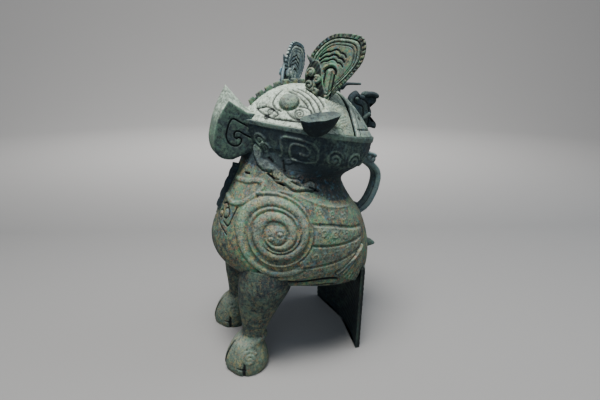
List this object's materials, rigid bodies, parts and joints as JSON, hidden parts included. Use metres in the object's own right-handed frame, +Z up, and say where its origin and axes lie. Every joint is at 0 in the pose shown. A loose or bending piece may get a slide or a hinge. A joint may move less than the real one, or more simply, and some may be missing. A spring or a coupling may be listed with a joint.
{
  "type": "owl-shaped bronze wine vessel",
  "caption": "Hollow cast bronze vessel in the shape of a standing owl with a tall crest, a loop handle and a loose lid behind the face; it stands on two feet and the tail",
  "frame": {"origin": "on the floor, under the middle of the vessel's bounding box", "axes": "+Z is up, -Y is the way the owl faces, +X is the owl's left"},
  "size_m": [0.2124, 0.273, 0.4591],
  "materials": {
    "body_bronze": "cast bronze under a dark green patina with malachite, azurite and red-brown specks",
    "lid_bronze": "cast bronze under a dark blue-green patina"
  },
  "bodies": {
    "root": {"vessel_body": "body_bronze", "lid": "lid_bronze"}
  },
  "joints": []
}
